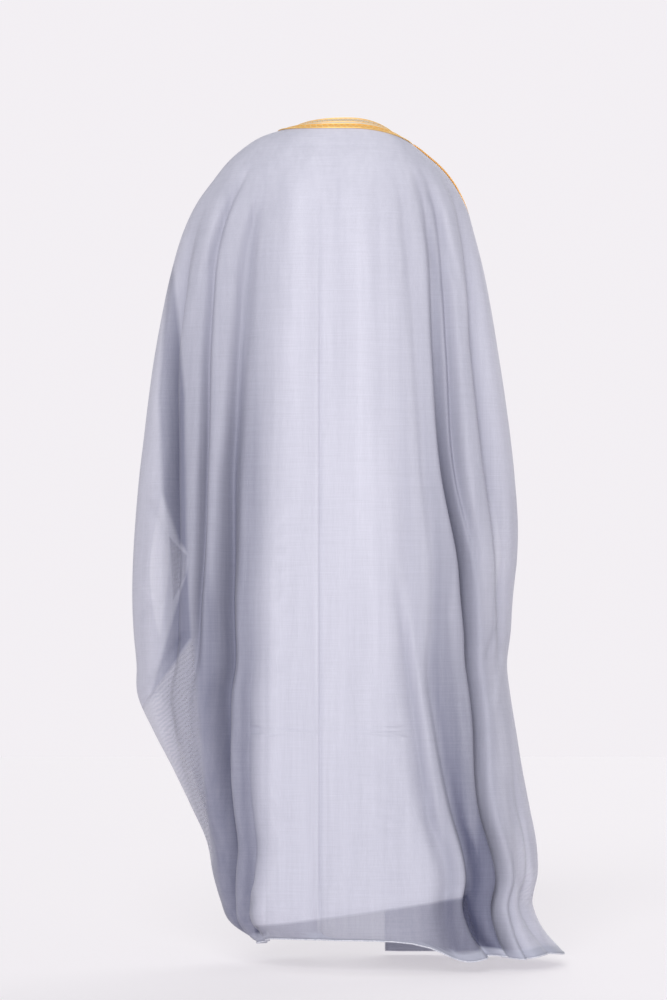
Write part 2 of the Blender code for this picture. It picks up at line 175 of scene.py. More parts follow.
# One row for each crease, pressed or pulled into the back (side 1) or the fronts (side -1), from one
# place to another. wide is its reach in metres. depth is in millimetres, and below 0 for a ridge. It
# fades over CREASE_FADE of its length at each end, and its painted shade is CREASE_SHADE times that of
# a fold of its depth.
CREASE_FADE = 0.22
CREASE_SHADE = 6.0
Crease = namedtuple("Crease", "side x_start z_start x_end z_end wide depth")
CREASES = (
    # Pressed folds down the back and across it
    Crease(1, 0.046, -0.12, 0.045, -1.85, 0.0032, 2.0),
    Crease(1, 0.052, -0.12, 0.050, -1.85, 0.0026, -1.2),
    Crease(1, 0.140, -0.70, 0.148, -1.75, 0.0032, 1.2),
    Crease(1, 0.160, -1.131, 0.036, -1.139, 0.0030, 1.1),
    Crease(1, 0.060, -1.136, -0.060, -1.130, 0.0035, 0.4),
    Crease(1, 0.130, -0.030, -0.110, -0.034, 0.0030, 0.6),
    Crease(1, 0.020, -0.104, -0.014, -0.098, 0.0035, 1.2),
    Crease(1, 0.055, -0.030, 0.040, -0.075, 0.0050, 0.9),
    # Soft upright waves over the shoulder blades
    Crease(1, 0.112, -0.03, 0.118, -0.62, 0.011, 2.2),
    Crease(1, 0.078, -0.05, 0.085, -0.80, 0.010, -1.6),
    Crease(1, 0.015, -0.04, 0.012, -0.58, 0.012, 1.8),
    Crease(1, -0.020, -0.08, -0.030, -0.90, 0.012, -1.5),
    Crease(1, -0.058, -0.05, -0.066, -0.64, 0.010, 2.0),
    Crease(1, -0.100, -0.09, -0.118, -0.42, 0.009, 1.2),
    Crease(1, 0.170, -0.10, 0.178, -0.48, 0.009, 2.4),
    # Drag lines from the shoulders
    Crease(1, -0.125, -0.060, -0.185, -0.340, 0.009, 2.6),
    Crease(1, -0.150, -0.085, -0.222, -0.330, 0.008, 2.4),
    Crease(1, -0.178, -0.110, -0.250, -0.430, 0.008, -2.0),
    Crease(1, 0.205, -0.090, 0.268, -0.300, 0.009, 2.4),
    Crease(1, 0.235, -0.110, 0.300, -0.400, 0.008, -2.0),
    # Pulls over the left side, where it hangs out
    Crease(1, 0.292, -0.945, 0.382, -1.062, 0.0050, 3.2),
    Crease(1, 0.330, -0.880, 0.398, -0.935, 0.0060, 2.2),
    Crease(1, 0.388, -0.860, 0.345, -0.905, 0.0050, -1.8),
    Crease(1, 0.375, -0.690, 0.318, -0.800, 0.0070, 2.6),
    Crease(1, 0.368, -1.090, 0.262, -1.330, 0.0080, -2.4),
    # Long curved waves that run to the hem on the right
    Crease(1, -0.080, -0.775, -0.168, -1.424, 0.006, 2.4),
    Crease(1, -0.100, -0.806, -0.185, -1.400, 0.007, -3.0),
    Crease(1, -0.060, -1.10, -0.095, -1.52, 0.010, 1.4),
    Crease(1, -0.300, -1.19, -0.335, -1.49, 0.009, 3.0),
    Crease(1, -0.325, -1.26, -0.360, -1.54, 0.008, -3.0),
    Crease(1, -0.285, -0.93, -0.262, -1.01, 0.006, 2.5),
    Crease(1, -0.298, -0.98, -0.276, -1.10, 0.006, -2.2),
    # The fronts
    Crease(-1, 0.120, -0.20, 0.150, -0.95, 0.010, 2.6),
    Crease(-1, 0.200, -0.14, 0.262, -0.62, 0.010, 2.6),
    Crease(-1, 0.235, -0.50, 0.250, -1.30, 0.010, -2.4),
    Crease(-1, 0.110, -0.75, 0.096, -1.56, 0.009, 3.0),
    Crease(-1, 0.330, -0.95, 0.262, -1.30, 0.008, 3.0),
    Crease(-1, 0.300, -0.58, 0.372, -0.98, 0.008, -2.6),
    Crease(-1, -0.112, -0.22, -0.122, -1.10, 0.010, 2.6),
    Crease(-1, -0.165, -0.16, -0.205, -0.70, 0.010, 2.4),
    Crease(-1, -0.200, -0.60, -0.232, -1.40, 0.010, -2.4),
    Crease(-1, -0.118, -0.90, -0.150, -1.56, 0.009, 3.0),
    Crease(-1, -0.260, -0.70, -0.300, -1.22, 0.008, 2.6),
    Crease(-1, -0.210, -0.80, -0.150, -1.02, 0.007, -2.0),
)


def smooth_step(value):
    part = np.clip(value, 0.0, 1.0)
    return part * part * (3.0 - 2.0 * part)


def curve_through(places, rows, place):
    """The value at a place on a smooth curve through the rows that stand at the given places."""
    slopes = np.gradient(rows, places, axis=0)
    row = int(np.clip(np.searchsorted(places, place, side="right") - 1, 0, len(places) - 2))
    span = places[row + 1] - places[row]
    part = float(np.clip((place - places[row]) / span, 0.0, 1.0))
    squared, cubed = part**2, part**3
    return (
        (2 * cubed - 3 * squared + 1) * rows[row]
        + (cubed - 2 * squared + part) * span * slopes[row]
        + (3 * squared - 2 * cubed) * rows[row + 1]
        + (cubed - squared) * span * slopes[row + 1]
    )


def points_between(wanted, places, points):
    """Points at the wanted places along a line of points that stand at the given places."""
    return np.column_stack([np.interp(wanted, places, points[:, axis]) for axis in range(3)])


def rounded(value):
    """A sine or cosine, as the flattened oval has it."""
    return np.sign(value) * np.abs(value) ** (2.0 / OVAL_POWER)


def edge_angle(x, middle, half_width):
    """The angle from the side, on the front, at which the oval passes x."""
    share = (x - middle) / half_width
    return math.acos(math.copysign(abs(share) ** (OVAL_POWER / 2.0), share))


def running_length(points):
    steps = np.linalg.norm(np.diff(points, axis=0), axis=1)
    return np.concatenate([[0.0], np.cumsum(steps)])


def crease_depth(points, sides):
    """How far the creases press each point inwards, in metres, and how near it is to a narrow one."""
    depth = np.zeros(len(points))
    nearness = np.zeros(len(points))
    for crease in CREASES:
        start = np.array([crease.x_start, crease.z_start])
        line = np.array([crease.x_end, crease.z_end]) - start
        length = np.linalg.norm(line)
        away = points[:, [0, 2]] - start
        run = away @ line / length**2
        offset = (away[:, 0] * line[1] - away[:, 1] * line[0]) / length
        ends = smooth_step(run / CREASE_FADE) * smooth_step((1.0 - run) / CREASE_FADE)
        ends = np.where(sides == crease.side, ends, 0.0)
        depth += np.exp(-((offset / crease.wide) ** 2)) * ends * crease.depth / 1000
        if crease.wide < NARROW_CREASE:
            nearness += np.exp(-((offset / crease.wide / NARROW_CREASE_REACH) ** 2)) * ends
    return depth, nearness


class FoldedRing:
    """One ring of cloth, from the left front edge, as worn, round the back to the right front edge.

    A place on it is a length along the plain oval, before the folds are pressed in."""

    def __init__(self, level):
        ring = Ring(*curve_through(np.arange(len(RINGS)), np.array(RINGS, float), level))
        middle = (ring.left + ring.right) / 2.0
        half_width = (ring.left - ring.right) / 2.0
        start = -edge_angle(ring.edge_left, middle, half_width)
        end = 2 * math.pi - edge_angle(ring.edge_right, middle, half_width)
        self.angle = np.linspace(start, end, RING_SAMPLES)
        cosine, sine = np.cos(self.angle), np.sin(self.angle)
        x = middle + half_width * rounded(cosine)
        y = np.where(sine > 0, ring.back, -ring.front) * rounded(sine)
        z_side = np.where(cosine > 0, ring.z_left, ring.z_right)
        z_middle = np.where(sine > 0, ring.z_back, ring.z_front)
        z = z_side + (z_middle - z_side) * sine**2
        sagging = smooth_step((level - SAG_TOP) / (HEM_LEVEL - SAG_TOP))
        for sag in HEM_SAGS:
            away = (np.degrees(self.angle) - sag.angle) / sag.reach
            z -= sagging * sag.drop / 1000 * np.exp(-(away**2))
        self.places = running_length(np.column_stack([x, y]))
        self.seams = [
            self.place_of(-math.radians(ring.seam_left)),
            self.place_of(math.pi + math.radians(ring.seam_right)),
        ]
        self.spread = smooth_step(level / NECK_RINGS)
        self.fold_places = {panel: [] for panel in PANEL_FOLDS}
        groove = np.zeros(RING_SAMPLES)
        density = np.full(RING_SAMPLES, 1.0 / FLAT_STEP)
        for panel, folds in PANEL_FOLDS.items():
            for fold in folds:
                angle = curve_through(FOLD_RINGS, np.array(fold.angles, float), level)
                depth = max(0.0, curve_through(FOLD_RINGS, np.array(fold.depths, float), level)) / 1000
                place = self.place_of(math.radians(angle))
                offset = self.places - place
                before = np.interp(level, FOLD_TURN, np.broadcast_to(fold.wide_before, 2))
                after = np.interp(level, FOLD_TURN, np.broadcast_to(fold.wide_after, 2))
                width = np.where(offset < 0, before, after)
                groove += depth * np.exp(-((offset / width) ** 2))
                density += self.spread * np.exp(-((offset / width / FOLD_REACH) ** 2)) / FOLD_STEP
                self.fold_places[panel].append(place)
        along_x, along_y = np.gradient(x), np.gradient(y)
        inward = np.column_stack([-along_y, along_x]) / np.hypot(along_x, along_y)[:, None]
        self.points = np.column_stack([x, y, z])
        self.points[:, :2] += inward * (groove + VOILE_INSET)[:, None]
        crease, nearness = crease_depth(self.points, np.where(sine > 0, 1, -1))
        self.points[:, :2] += inward * crease[:, None]
        # The depth that the painted shade follows: that of the folds, and CREASE_SHADE times that of the
        # creases
        self.groove = groove + crease * CREASE_SHADE
        density += self.spread * nearness / CREASE_STEP
        columns = (density[1:] + density[:-1]) / 2.0 * np.diff(self.places)
        self.crowding = np.concatenate([[0.0], np.cumsum(columns)])

    def place_of(self, angle):
        return float(np.interp(angle, self.angle, self.places))

    def points_at(self, wanted):
        return points_between(wanted, self.places, self.points)

    def columns(self, panel, start, end, gap_columns):
        """The places of a panel's columns from start to end, with gap_columns from fold to fold.

        Towards the neckline, the columns leave the folds and spread evenly."""
        stops = np.array([start, *self.fold_places[panel], end])
        even = np.linspace(start, end, len(stops))
        stops = even + (stops - even) * self.spread
        marks = np.interp(stops, self.places, self.crowding)
        steps = np.arange((len(stops) - 1) * gap_columns + 1) / gap_columns
        return np.interp(np.interp(steps, np.arange(len(stops)), marks), self.crowding, self.places)


def hand_gap(z):
    """Half the width of the hand opening at height z, or half the seam's gap away from it."""
    part = (HAND_OPENING_TOP - z) / HAND_OPENING_HEIGHT
    if not 0.0 < part < 1.0:
        return SEAM_GAP / 2
    return max(SEAM_GAP, HAND_OPENING_WIDTH * math.sin(math.pi * part)) / 2


neck_levels = np.linspace(0, NECK_ROWS_END, NECK_ROWS + 1)[:-1]
body_levels = np.linspace(NECK_ROWS_END, HEM_LEVEL, BODY_ROWS + 1)
plain_levels = np.concatenate([neck_levels, body_levels])
crease_levels = np.concatenate([np.arange(*rows) for rows in CREASE_ROWS])
clearance = np.abs(plain_levels[:, None] - crease_levels).min(axis=1)
LEVELS = np.sort(np.concatenate([plain_levels[clearance > ROW_CLEARANCE], crease_levels]))
RING_STACK = [FoldedRing(level) for level in LEVELS]


def panel_surface(panel, gap_columns):
    """The panel's grid of points, each one's place on its ring, and the depth for the painted shade
    there.
    """
    points, places, grooves = [], [], []
    for ring in RING_STACK:
        gaps = [hand_gap(ring.points_at([seam])[0, 2]) for seam in ring.seams]
        start, end = {
            "front_left": (0.0, ring.seams[0] - gaps[0]),
            "back": (ring.seams[0] + gaps[0], ring.seams[1] - gaps[1]),
            "front_right": (ring.seams[1] + gaps[1], ring.places[-1]),
        }[panel]
        columns = ring.columns(panel, start, end, gap_columns)
        points.append(ring.points_at(columns))
        places.append(columns)
        grooves.append(np.interp(columns, ring.places, ring.groove))
    return np.array(points), np.array(places), np.array(grooves)


def grid_faces(rows, columns, first=0):
    """Quads of a grid of points, facing out of the cloak."""
    corners = [first + row * columns + column for row in range(rows - 1) for column in range(columns - 1)]
    return [(corner, corner + columns, corner + columns + 1, corner + 1) for corner in corners]


def activate(piece):
    """Makes the piece the one that Blender's operators work on."""
    bpy.ops.object.select_all(action="DESELECT")
    piece.select_set(True)
    bpy.context.view_layer.objects.active = piece


def add_sheet(name, points, faces, uv, marks, material, wall, outward):
    """A sheet with a UV map in metres of cloth and named marks at its points, thickened to its wall."""
    mesh = bpy.data.meshes.new(name)
    mesh.from_pydata(points.tolist(), [], faces)
    corners = np.empty(len(mesh.loops), dtype=np.int32)
    mesh.loops.foreach_get("vertex_index", corners)
    mesh.uv_layers.new(name="cloth").data.foreach_set("uv", uv[corners].ravel())
    for mark, values in marks.items():
        mesh.attributes.new(mark, "FLOAT", "POINT").data.foreach_set("value", values.ravel())
    mesh.materials.append(material)
    mesh.shade_smooth()
    piece = bpy.data.objects.new(name, mesh)
    bpy.context.scene.collection.objects.link(piece)
    solidify = piece.modifiers.new("wall", "SOLIDIFY")
    solidify.thickness = wall
    solidify.offset = outward
    activate(piece)
    bpy.ops.object.modifier_apply(modifier="wall")
    return piece


def surface_uv(grid):
    """Lengths across the grid from its middle column, and down it from its top row."""
    middle = grid.shape[1] // 2
    across = np.array([running_length(row) for row in grid])
    across -= across[:, middle][:, None]
    down = np.repeat(-running_length(grid[:, middle])[:, None], grid.shape[1], axis=1)
    return np.stack([across, down], axis=2).reshape(-1, 2)


def connect(tree, kind, inputs=(), **settings):
    """A new node, with its sockets set to values or joined to other nodes' sockets."""
    node = tree.nodes.new(kind)
    for name, value in settings.items():
        setattr(node, name, value)
    for name, value in dict(inputs).items():
        if isinstance(value, bpy.types.NodeSocket):
            tree.links.new(value, node.inputs[name])
        else:
            node.inputs[name].default_value = value
    return node


def calculate(tree, operation, *values, **settings):
    """The result of a Math node. Each value is a number or another node's socket."""
    inputs = enumerate(values)
    return connect(tree, "ShaderNodeMath", inputs, operation=operation, **settings).outputs["Value"]


def mix_colours(tree, factor, first, second):
    """A mix of two colours. A colour Mix node takes them at sockets 6 and 7, and gives it at output 2."""
    return connect(tree, "ShaderNodeMix", {0: factor, 6: first, 7: second}, data_type="RGBA").outputs[2]


def remap(tree, value, low, high, to_low, to_high):
    settings = {"Value": value, "From Min": low, "From Max": high, "To Min": to_low, "To Max": to_high}
    return connect(tree, "ShaderNodeMapRange", settings).outputs["Result"]


def fine_noise(tree, place, scale):
    inputs = {"Vector": place, "Scale": scale, "Detail": 2.0}
    return connect(tree, "ShaderNodeTexNoise", inputs).outputs["Fac"]


def new_material(name, surface):
    """A material and its nodes, with its shader's own sockets set to the values in surface."""
    material = bpy.data.materials.new(name)
    material.use_nodes = True
    shader = material.node_tree.nodes["Principled BSDF"]
    for socket, value in surface.items():
        shader.inputs[socket].default_value = value
    return material, material.node_tree, shader


# A region of the cloth between straight lines, as seen from behind: its corners in x and z, from the top
# left round to the bottom left, how far its edge is blurred in metres, and what it adds to the painted
# light and shade and to the sheerness of the cloth. Its outline turns inwards nowhere.
Region = namedtuple("Region", "corners soft tone sheer")


def region_share(tree, place, region):
    """1 inside the region and 0 outside it."""
    corners = np.array(region.corners)
    inside = 1.0
    for start, end in zip(corners, np.roll(corners, -1, axis=0)):
        along = (end - start) / np.linalg.norm(end - start)
        across = (-along[1], 0.0, along[0])
        past = connect(tree, "ShaderNodeVectorMath", {0: place, 1: across}, operation="DOT_PRODUCT")
        offset = start[0] * along[1] - start[1] * along[0]
        depth = calculate(tree, "ADD", past.outputs["Value"], offset)
        inside = calculate(tree, "MINIMUM", depth, inside)
    return remap(tree, inside, -region.soft, region.soft, 0.0, 1.0)


# The voile's colours in painted shade, in painted light and in the turned hem, the scales of the noise
# along its threads and streaks, and how much each shows in its painted light, from 0 in shade to 1 in
# full light
VOILE_SHADED = (0.108, 0.114, 0.194, 1)
VOILE_LIT = (0.737, 0.732, 0.834, 1)
VOILE_HEMMED = (0.44, 0.45, 0.54, 1)
WEFT, WARP = (16, 16, 1100), (1300, 1300, 9)
WIDE_STREAKS, FINE_STREAKS = (34, 34, 1.2), (110, 110, 3)
WEAVE_TONE = 0.016
STREAK_TONE = 0.042
RIPPLE_TONE = 0.16
RIPPLE_TURN = 0.9
RIPPLE_SCALE = 42.0
RIPPLE_BEND = 5.0

# How much each face of the wall holds back, which is half of what the cloth does: where it is not sheer
# and where it is, how much more in the turned hem, and how much it varies with the weave
CLOSE_ALPHA, SHEER_ALPHA = 0.90, 0.42
HEM_ALPHA = 0.25
WEAVE_ALPHA = 0.04


def voile_material(name, regions=()):
    """Voile that follows its sheet's painted light and shade, sheer and hem marks, and the regions."""
    surface = {"Roughness": 0.6, "Specular IOR Level": 0.2, "Sheen Weight": 0.15, "Sheen Roughness": 0.4}
    material, tree, shader = new_material(name, surface)
    place = connect(tree, "ShaderNodeTexCoord").outputs["Object"]

    def add(first, second):
        return calculate(tree, "ADD", first, second)

    def multiply(first, second):
        return calculate(tree, "MULTIPLY", first, second)

    def drawn_noise(scale):
        """Noise from 0 to 1, drawn out by the scale along the weft or the warp."""
        drawn = connect(tree, "ShaderNodeMapping", {"Vector": place, "Scale": scale}).outputs["Vector"]
        return fine_noise(tree, drawn, 1.0)

    def swing(noises, share):
        """The sum of two noises, which lies about 1, as a swing of the given share to each side of 0."""
        return remap(tree, noises, 0.7, 1.3, -share, share)

    weave = add(drawn_noise(WEFT), drawn_noise(WARP))
    streaks = add(drawn_noise(WIDE_STREAKS), drawn_noise(FINE_STREAKS))
    tone, sheer, hem = (
        connect(tree, "ShaderNodeAttribute", attribute_name=mark).outputs["Fac"]
        for mark in ("tone", "sheer", "hem")
    )
    for region in regions:
        share = region_share(tree, place, region)
        tone = add(tone, multiply(share, region.tone))
        sheer = add(sheer, multiply(share, region.sheer))
    # Colour: painted shade where the cloth is deep in a fold, and painted light where it lies open and
    # flat
    threaded = add(tone, swing(weave, WEAVE_TONE))
    streaked = add(threaded, swing(streaks, STREAK_TONE))
    # The fine ripples that two sheer layers make together
    turn = {"Vector": place, "Rotation": (0, RIPPLE_TURN, 0)}
    turned = connect(tree, "ShaderNodeMapping", turn).outputs["Vector"]
    lines = {"Vector": turned, "Scale": RIPPLE_SCALE, "Distortion": RIPPLE_BEND, "Detail": 1.0}
    wave = connect(tree, "ShaderNodeTexWave", lines).outputs["Fac"]
    doubled = remap(tree, sheer, 0.65, 1.2, 0.0, 1.0)
    ripple = multiply(add(wave, -0.5), doubled)
    toned = calculate(tree, "MULTIPLY_ADD", ripple, RIPPLE_TONE, streaked)
    colour = mix_colours(tree, hem, mix_colours(tree, toned, VOILE_SHADED, VOILE_LIT), VOILE_HEMMED)
    tree.links.new(colour, shader.inputs["Base Color"])
    solid = add(remap(tree, sheer, 0.0, 1.0, CLOSE_ALPHA, SHEER_ALPHA), swing(weave, WEAVE_ALPHA))
    alpha = calculate(tree, "MULTIPLY_ADD", hem, HEM_ALPHA, solid, use_clamp=True)
    tree.links.new(alpha, shader.inputs["Alpha"])
    bump = connect(tree, "ShaderNodeBump", {"Height": weave, "Strength": 0.12, "Distance": 0.0004})
    tree.links.new(bump.outputs["Normal"], shader.inputs["Normal"])
    return material


def hem_marks(grid):
    """1 in the turned hem and 0 above it."""
    up_from_hem = np.linalg.norm(grid - grid[-1:], axis=2)
    return 1.0 - smooth_step((up_from_hem - HEM_TURNING) / HEM_TURNING_EDGE)


# A lay is the cloth between a fold and the next: how pale it is painted, in painted light and shade, at
# each of the three LAY_LEVELS, how sheer it hangs below level SHEER_TOP, coming on over SHEER_SPAN
# levels, and how far from the folds it is so, in metres, at most LAY_SHARE of the way across. It takes
# painted shade of GROOVE_SHADE for each metre of depth in a fold, and no darker than DARKEST_TONE.
Lay = namedtuple("Lay", "high middle low sheer reach")
LAY_LEVELS = (2, 12, 22)
LAY_SHARE = 0.45
SHEER_TOP = 8
SHEER_SPAN = 7
GROOVE_SHADE = 4.5
DARKEST_TONE = 0.02


def lay_marks(panel, places, grooves, lays):
    """Painted light and shade, and sheerness, at each point, from those of the lays and the folds."""
    tones, sheers = [], []
    for level, ring, columns in zip(LEVELS, RING_STACK, places):
        stops = np.array([columns[0], *ring.fold_places[panel], columns[-1]])
        reach = np.minimum([lay.reach for lay in lays], np.diff(stops) * LAY_SHARE)
        marks = np.column_stack([stops[:-1] + reach, stops[1:] - reach]).ravel()
        tone = [np.interp(level, LAY_LEVELS, (lay.high, lay.middle, lay.low)) for lay in lays]
        sheer = [lay.sheer * smooth_step((level - SHEER_TOP) / SHEER_SPAN) for lay in lays]
        tones.append(np.interp(columns, marks, np.repeat(tone, 2)))
        sheers.append(np.interp(columns, marks, np.repeat(sheer, 2)))
    return np.clip(np.array(tones) - grooves * GROOVE_SHADE, DARKEST_TONE, 1.0), np.array(sheers)


# A patch where one layer of cloth hangs in place of two, or two in place of one: its middle, its reach
# across and up, how far it leans for each metre up, and what it adds to the painted light and the
# sheerness
Patch = namedtuple("Patch", "x z wide high slant tone sheer")


def add_patches(grid, tone, sheer, patches):
    for patch in patches:
        up = grid[:, :, 2] - patch.z
        away = grid[:, :, 0] - patch.x - up * patch.slant
        near = np.exp(-((away / patch.wide) ** 4) - (up / patch.high) ** 4)
        tone = tone + near * patch.tone
        sheer = sheer + near * patch.sheer
    return np.clip(tone, DARKEST_TONE, 1.0), np.clip(sheer, 0.0, 1.0)


def add_panel(name, gap_columns, material, lays, patches=()):
    """The panel's sheet in place of its node, and the sheet's grid of points."""
    grid, places, grooves = panel_surface(name, gap_columns)
    rows, columns, _ = grid.shape
    tone, sheer = add_patches(grid, *lay_marks(name, places, grooves, lays), patches)
    marks = {"tone": tone, "sheer": sheer, "hem": hem_marks(grid)}
    points, faces = grid.reshape(-1, 3), grid_faces(rows, columns)
    panel = add_sheet(name + "_cloth", points, faces, surface_uv(grid), marks, material, VOILE_WALL, -1)
    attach(panel, "root")
    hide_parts(name)
    return panel, grid


# Painted light and shade of the back's lays, from the side seam on the left, as worn, to the one on the
# right
BACK_LAYS = (
    Lay(0.74, 0.90, 0.90, 0.55, 0.045),
    Lay(0.80, 0.50, 0.42, 0.2, 0.010),
    Lay(0.82, 0.53, 0.28, 0.0, 0.010),
    Lay(0.90, 0.42, 0.30, 0.0, 0.012),
    Lay(0.94, 0.89, 0.83, 0.0, 0.045),
    Lay(0.92, 0.93, 0.80, 0.0, 0.030),
    Lay(0.92, 0.76, 0.56, 0.0, 0.012),
    Lay(0.90, 0.62, 0.14, 0.0, 0.012),
    Lay(0.80, 0.54, 0.60, 0.0, 0.010),
    Lay(0.80, 0.68, 0.78, 0.1, 0.012),
    Lay(0.82, 0.98, 0.94, 0.55, 0.050),
)

# Painted light where the cloth hangs clear of itself on the right side
BACK_PATCHES = (
    Patch(-0.300, -0.780, 0.022, 0.085, -0.10, 0.08, 0.4),
    Patch(-0.326, -1.390, 0.030, 0.085, 0.22, 0.10, 0.7),
)

BACK_REGIONS = (
    # Painted shade down the left side, where a second layer lies behind the cloth
    Region(
        (
            (0.334, -0.200), (0.300, -0.510), (0.294, -0.801),
            (0.310, -0.786), (0.342, -0.694), (0.352, -0.505),
        ),
        0.004, -0.31, -0.2,
    ),
    # Painted shade in the gap beside the main fold on the left, and painted light by the one on the right
    Region(
        (
            (0.259, -0.800), (0.242, -0.921), (0.242, -1.050),
            (0.259, -1.151), (0.274, -1.050), (0.274, -0.920),
        ),
        0.008, -0.13, 0.0,
    ),
    Region(
        (
            (-0.203, -0.827), (-0.214, -0.920), (-0.247, -1.253),
            (-0.239, -1.344), (-0.222, -1.307), (-0.192, -0.920),
        ),
        0.006, 0.15, 0.0,
    ),
    # The turned corner at the lower left: a sheer spot painted darker, painted shade on the double edge
    # and painted light on the sheer cloth below
    Region(((0.328, -0.776), (0.294, -0.812), (0.296, -0.848), (0.320, -0.890)), 0.002, -0.12, 0.5),
    Region(((0.292, -0.838), (0.285, -0.964), (0.363, -1.073), (0.312, -0.895)), 0.003, -0.28, -0.4),
    Region(((0.280, -0.966), (0.247, -1.388), (0.389, -1.180), (0.389, -1.101)), 0.003, 0.10, 0.9),
    # Painted shade where it hangs single above the hem
    Region(((0.166, -1.493), (-0.221, -1.437), (-0.254, -1.570), (0.166, -1.570)), 0.003, -0.22, 0.5),
    Region(((0.037, -1.467), (-0.221, -1.437), (-0.254, -1.570), (0.037, -1.570)), 0.010, -0.06, 0.1),
    Region(((-0.133, -1.450), (-0.221, -1.437), (-0.254, -1.570), (-0.132, -1.570)), 0.006, -0.06, 0.0),
)

back_voile = voile_material("back_voile", BACK_REGIONS)
back, back_grid = add_panel("back", BACK_GAP_COLUMNS, back_voile, BACK_LAYS, BACK_PATCHES)

# The fronts
# Two half loom widths of the same voile, sewn to the back at the sides and left open down the middle.
# They hang in long soft folds from the shoulders. Each side seam is left open for a hand.
FRONT_GAP_COLUMNS = 18

# Painted light and shade, from the left front edge to the side seam. The right front has the same in
# reverse.
FRONT_LAYS = (
    Lay(0.78, 0.84, 0.80, 0.3, 0.02),
    Lay(0.74, 0.72, 0.68, 0.2, 0.02),
    Lay(0.72, 0.68, 0.62, 0.3, 0.02),
    Lay(0.70, 0.68, 0.60, 0.8, 0.02),
)

front_voile = voile_material("front_voile")
front_left, left_grid = add_panel("front_left", FRONT_GAP_COLUMNS, front_voile, FRONT_LAYS)
front_right, right_grid = add_panel("front_right", FRONT_GAP_COLUMNS, front_voile, FRONT_LAYS[::-1])

# The hems
# The cloth's lower edge and the front edges are turned twice and sewn, which leaves a fine round edge,
# paler than the cloth. Down the front edges it comes out from under the band.
HEM_ROLL_RADIUS = 0.0013
HEM_ROLL_ROUNDNESS = 2
HEM_ROLL_FIRST_ROW = 30


def grainy_colour(tree, scale, low_colour, high_colour):
    """A colour that varies with a fine noise, and the noise."""
    noise = fine_noise(tree, connect(tree, "ShaderNodeTexCoord").outputs["Object"], scale)
    return mix_colours(tree, remap(tree, noise, 0.35, 0.65, 0.0, 1.0), low_colour, high_colour), noise


def hem_material():
    material, tree, shader = new_material("hem_thread", {"Roughness": 0.65})
    colour, _ = grainy_colour(tree, 260.0, (0.55, 0.56, 0.64, 1), (0.74, 0.74, 0.80, 1))
    tree.links.new(colour, shader.inputs["Base Color"])
    return material


def add_tube(name, path, radius, material, roundness=1):
    """A round cord along a path of points, as a mesh. roundness is the curve's bevel resolution."""
    curve = bpy.data.curves.new(name, "CURVE")
    curve.dimensions = "3D"
    curve.bevel_depth = radius
    curve.bevel_resolution = roundness
    curve.use_fill_caps = True
    spline = curve.splines.new("POLY")
    spline.points.add(len(path) - 1)
    spline.points.foreach_set("co", np.column_stack([path, np.ones(len(path))]).ravel())
    tube = bpy.data.objects.new(name, curve)
    bpy.context.scene.collection.objects.link(tube)
    activate(tube)
    bpy.ops.object.convert(target="MESH")
    tube = bpy.context.active_object
    tube.data.materials.append(material)
    tube.data.shade_smooth()
    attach(tube, "root")
    return tube


hem_thread = hem_material()
for name, path in (
    ("back_hem", back_grid[-1]),
    ("front_left_hem", np.concatenate([left_grid[HEM_ROLL_FIRST_ROW:, 0], left_grid[-1, 1:]])),
    ("front_right_hem", np.concatenate([right_grid[HEM_ROLL_FIRST_ROW:, -1], right_grid[-1, -2::-1]])),
):
    add_tube(name, path, HEM_ROLL_RADIUS, hem_thread, HEM_ROLL_ROUNDNESS)

# The neck and front band
# A zari braid 26 mm wide, woven in gold thread on a pale ground and sewn flat round the neckline and
# down both front edges to the waist. Its edges and two lines between them are raised gold cords.
BAND_WIDTH = 0.026
BAND_LENGTH = 0.56
BAND_WALL = 0.0009
BAND_LIFT = 0.0004
BAND_COLUMNS = 8
NECK_SAMPLES = 420

# One row for each raised cord: its place from the inner edge, as a share of the width, and its radius
Cord = namedtuple("Cord", "share radius")
BAND_CORDS = (Cord(0.03, 0.0013), Cord(0.40, 0.0008), Cord(0.62, 0.0011), Cord(0.97, 0.0013))

# How far off the second line of points is that gives the cloth's slope under a cord: in levels round the
# neckline, and in metres down the fronts
NEXT_LEVEL = 0.05
NEXT_PLACE = 0.002


def cloth_normals(grid):
    normals = np.cross(np.gradient(grid, axis=0), np.gradient(grid, axis=1))
    return normals / np.linalg.norm(normals, axis=2, keepdims=True)


def lift_grid(grid, height):
    return grid + cloth_normals(grid) * height


def gold_material(name, light, deep, scale):
    """Gold thread, light and deep by turns at the given scale, with a grain."""
    material, tree, shader = new_material(name, {"Metallic": 0.55, "Roughness": 0.34})
    colour, noise = grainy_colour(tree, scale, deep, light)
    tree.links.new(colour, shader.inputs["Base Color"])
    bump = connect(tree, "ShaderNodeBump", {"Height": noise, "Strength": 0.3, "Distance": 0.0005})
    tree.links.new(bump.outputs["Normal"], shader.inputs["Normal"])
    return material


